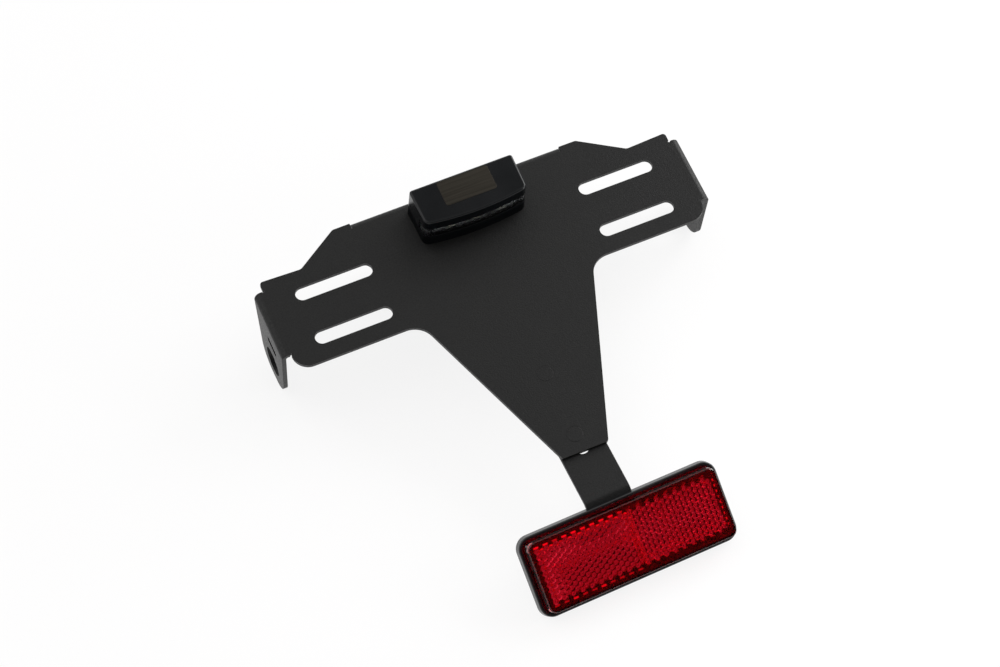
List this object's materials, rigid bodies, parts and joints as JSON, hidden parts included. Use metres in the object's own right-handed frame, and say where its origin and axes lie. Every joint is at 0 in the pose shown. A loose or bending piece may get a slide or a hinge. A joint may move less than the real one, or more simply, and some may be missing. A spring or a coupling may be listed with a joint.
{
  "type": "tail tidy",
  "caption": "Motorbike tail tidy: a black folded sheet with slots for the number plate, a plate lamp, an indicator tab at each side and a red prismatic reflector on a bent strip.",
  "frame": {"origin": "middle of the four number-plate slots, on the front face of the sheet", "axes": "+X across to the right seen from the front, +Y up the sheet towards the lamp, +Z out of the front face; it lies front up, as in the picture"},
  "size_m": [0.2052, 0.1977, 0.0599],
  "materials": {
    "powder_coat": "fine-textured matt black coat on aluminium sheet",
    "zinc_steel": "bright zinc plate",
    "lamp_black": "satin black moulding",
    "lamp_clear": "clear moulding",
    "label_metal": "dark brushed",
    "circuit_board": "white solder mask",
    "led": "phosphor-filled resin",
    "rubber": "matt",
    "reflector_black": "gloss black moulding",
    "reflector_red": "clear red moulding with prisms on its back"
  },
  "bodies": {
    "root": {"main_plate": "powder_coat", "strip_studs": "zinc_steel", "strip_washers": "zinc_steel", "strip_nuts": "zinc_steel", "reflector_strip": "powder_coat", "reflector_housing": "reflector_black", "reflector_lens": "reflector_red", "reflector_stud": "zinc_steel", "reflector_washer": "zinc_steel", "reflector_nut": "zinc_steel", "lamp_base": "lamp_black", "lamp_lens": "lamp_clear", "lamp_cover": "lamp_black", "lamp_label": "label_metal", "lamp_circuit_board": "circuit_board", "lamp_leds": "led", "lamp_cover_screws": "zinc_steel", "lamp_studs": "zinc_steel", "lamp_washers": "zinc_steel", "lamp_nuts": "zinc_steel", "lamp_grommet": "rubber"}
  },
  "joints": []
}
